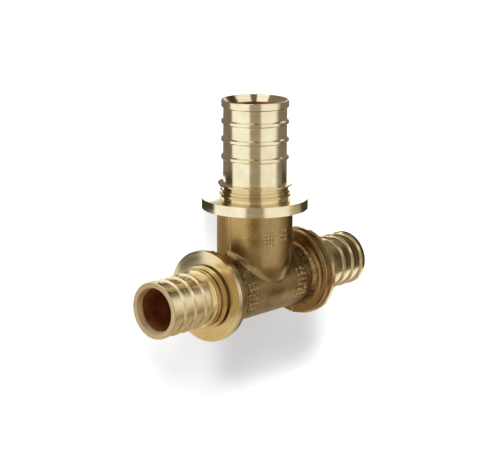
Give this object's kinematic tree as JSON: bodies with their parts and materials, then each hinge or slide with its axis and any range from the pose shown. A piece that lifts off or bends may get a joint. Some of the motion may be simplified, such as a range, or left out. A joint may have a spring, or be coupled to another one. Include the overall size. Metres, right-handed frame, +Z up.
{
  "type": "pex sleeve tee",
  "caption": "Brass reducing tee with a straight run and a larger branch, whose barbed spigots take plastic pipe held by pressed-on sleeves.",
  "frame": {"origin": "where the axis of the run meets the axis of the branch", "axes": "+X along the run, +Z up as the tee lies on its three collars, the branch towards +Y and tipped up by 5.5 degrees"},
  "size_m": [0.0988, 0.0791, 0.036],
  "materials": {
    "brass": "forged and matte on the body, turned and bright on the spigots and collars"
  },
  "bodies": {
    "root": {"tee_body": "brass"}
  },
  "joints": []
}
